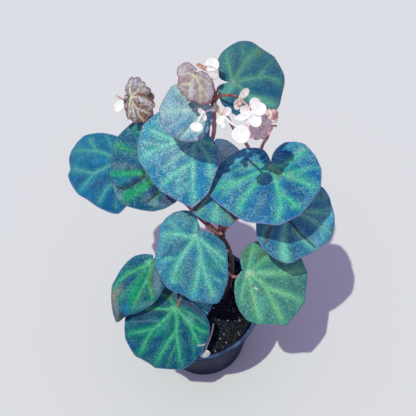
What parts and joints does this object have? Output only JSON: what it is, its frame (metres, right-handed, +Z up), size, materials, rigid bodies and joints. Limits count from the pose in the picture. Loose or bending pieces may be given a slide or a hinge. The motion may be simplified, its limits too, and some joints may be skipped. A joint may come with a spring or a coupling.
{
  "type": "potted begonia",
  "caption": "Bushy begonia in a round nursery pot: broad round notched leaves on long stalks, crinkled young leaves and small white flowers over soil.",
  "frame": {"origin": "centre of the pot's flat underside, on the surface that the pot stands on", "axes": "+Z up along the pot's axis, -Y towards the viewer's side of the plant, +X to the viewer's right"},
  "size_m": [0.2291, 0.1859, 0.335],
  "materials": {
    "pot": "satin moulded plastic, dark blue-black",
    "soil": "crumbly dark potting soil",
    "stem": "smooth, slightly glossy red-brown stalk",
    "leaf": "iridescent blue-green leaf with a fine sparkle",
    "young_leaf": "crinkled silvery mauve young leaf",
    "petal": "thin waxy white petal"
  },
  "bodies": {
    "root": {"pot": "pot", "soil": "soil", "stems": "stem", "fallen_flower": "petal", "leaf_top_right": "leaf", "leaf_top_centre": "leaf", "leaf_centre_left": "leaf", "leaf_mid_left": "leaf", "leaf_far_left": "leaf", "leaf_right": "leaf", "leaf_right_shaded": "leaf", "leaf_lower_right": "leaf", "leaf_centre_under": "leaf", "leaf_centre_back": "leaf", "leaf_lower_centre": "leaf", "leaf_lower_left": "leaf", "leaf_front": "leaf", "leaf_front_small": "leaf", "young_leaf_far_left": "young_leaf", "young_leaf_top": "young_leaf", "young_leaf_right": "young_leaf", "flowers_right": "petal", "flowers_left": "petal", "flowers_top": "petal", "flowers_far_left": "petal"}
  },
  "joints": []
}
